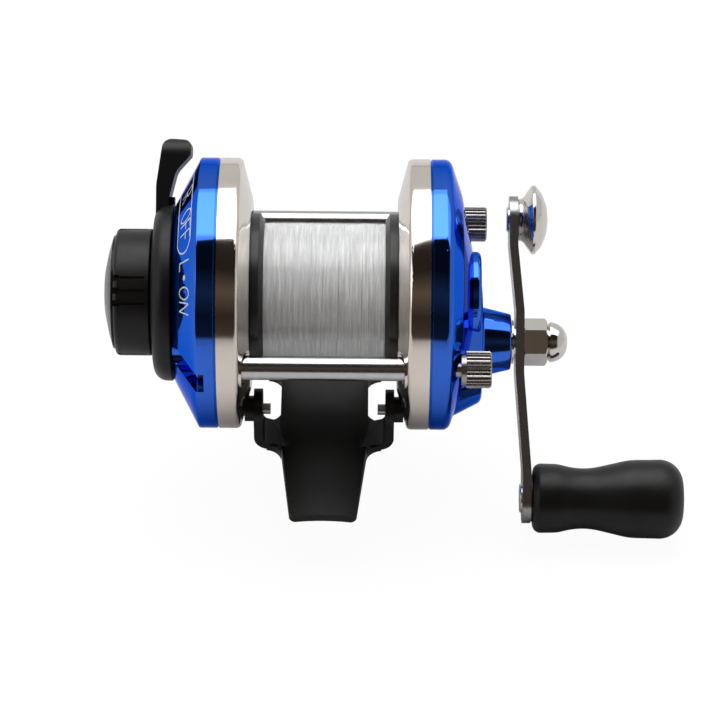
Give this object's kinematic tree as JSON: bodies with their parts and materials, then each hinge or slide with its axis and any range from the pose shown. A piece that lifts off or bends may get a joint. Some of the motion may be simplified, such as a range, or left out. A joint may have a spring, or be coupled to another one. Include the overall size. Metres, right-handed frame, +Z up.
{
  "type": "baitcasting reel",
  "caption": "Round baitcasting reel: line spool between two domed side plates on a rod foot, cranked gear drive, counterweighted handle, spool brake with lever.",
  "frame": {"origin": "middle of the foot's underside, on the face that bears on the rod", "axes": "+X along the spool axis towards the crank, +Y along the rod towards its tip, +Z up, away from the rod"},
  "size_m": [0.1122, 0.06, 0.0683],
  "materials": {
    "nickel_plate": "bright nickel plate, mirror polished",
    "blue_plate": "mirror-bright tinted blue plating",
    "black_spool": "black anodised look, semi-gloss",
    "clear_line": "clear nylon, wound",
    "satin_black": "satin moulded black",
    "gloss_black": "polished moulded black",
    "polished_steel": "turned and polished",
    "knurled_steel": "nickel plated, knurled",
    "arm_steel": "dark grey plated",
    "bright_chrome": "polished, plated",
    "screw_steel": "zinc plated",
    "bearing_steel": "ground",
    "plate_aluminium": "machined",
    "gear_brass": "hobbed",
    "hard_steel": "hardened",
    "brake_lining": "pressed fibre"
  },
  "bodies": {
    "root": {"left_frame_plate": "nickel_plate", "right_frame_plate": "nickel_plate", "left_bearing_plate": "plate_aluminium", "right_bearing_plate": "plate_aluminium", "left_bearing": "bearing_steel", "right_bearing": "bearing_steel", "bearing_plate_screws": "screw_steel", "rear_pillar": "polished_steel", "front_pillar": "polished_steel", "left_cover": "blue_plate", "left_pillar_screws": "screw_steel", "right_cover": "blue_plate", "crank_bushing": "gear_brass", "guide_pins": "polished_steel", "reel_foot": "satin_black", "foot_screws": "screw_steel", "pawl_spring": "screw_steel"},
    "rear_thumb": {"rear_thumbscrew": "knurled_steel"},
    "front_thumb": {"front_thumbscrew": "knurled_steel"},
    "spool": {"spool": "black_spool", "fishing_line": "clear_line", "spool_shaft": "polished_steel", "pinion": "gear_brass", "brake_disc": "bearing_steel"},
    "crank": {"drive_shaft": "polished_steel", "main_gear": "gear_brass", "ratchet_wheel": "hard_steel", "crank_washer": "bright_chrome", "handle_arm": "arm_steel", "handle_nut": "bright_chrome", "counterweight": "bright_chrome", "counterweight_rivet": "polished_steel", "knob_pin": "polished_steel", "knob_collar": "satin_black"},
    "knob": {"handle_knob": "satin_black"},
    "pawl": {"pawl": "hard_steel"},
    "lever": {"brake_lever": "satin_black", "brake_cam": "hard_steel"},
    "brake_knob": {"brake_knob": "satin_black", "brake_stem": "gear_brass", "brake_knob_cap": "gloss_black"},
    "brake_slide": {"pressure_plate": "plate_aluminium", "friction_ring": "brake_lining", "brake_spring": "screw_steel"}
  },
  "joints": [
    {"name": "crank_turn", "type": "hinge", "parent": "root", "child": "crank", "pos_m": [0.034, 0, 0.0202], "axis": [1, 0, 0], "continuous": true},
    {"name": "spool_turn", "type": "hinge", "parent": "root", "child": "spool", "pos_m": [0, 0, 0.0322], "axis": [1, 0, 0], "continuous": true},
    {"name": "knob_spin", "type": "hinge", "parent": "crank", "child": "knob", "pos_m": [0.055, -0.02034, -0.00239], "axis": [1, 0, 0], "continuous": true},
    {"name": "pawl_rock", "type": "hinge", "parent": "root", "child": "pawl", "pos_m": [0.0187, 0.0096, 0.0228], "axis": [1, 0, 0], "range_deg": [0, 12]},
    {"name": "lever_swing", "type": "hinge", "parent": "root", "child": "lever", "pos_m": [-0.03, 0, 0.0322], "axis": [-1, 0, 0], "range_deg": [0, 48]},
    {"name": "pressure_slide", "type": "slide", "parent": "root", "child": "brake_slide", "axis": [-1, 0, 0], "range_m": [0, 0.0008], "deforming": ["brake_spring"]},
    {"name": "brake_knob_turn", "type": "hinge", "parent": "lever", "child": "brake_knob", "pos_m": [-0.036, 0, 0.0322], "axis": [-1, 0, 0], "range_deg": [-180, 180]},
    {"name": "rear_thumbscrew_turn", "type": "hinge", "parent": "root", "child": "rear_thumb", "pos_m": [0.029, -0.0214, 0.0322], "axis": [1, 0, 0], "continuous": true},
    {"name": "front_thumbscrew_turn", "type": "hinge", "parent": "root", "child": "front_thumb", "pos_m": [0.029, 0.0214, 0.0322], "axis": [1, 0, 0], "continuous": true}
  ],
  "couplings": [
    {"joint": "spool_turn", "follows": "crank_turn", "ratio": -3},
    {"joint": "pressure_slide", "follows": "lever_swing", "m_per_rad": 0.00095}
  ]
}
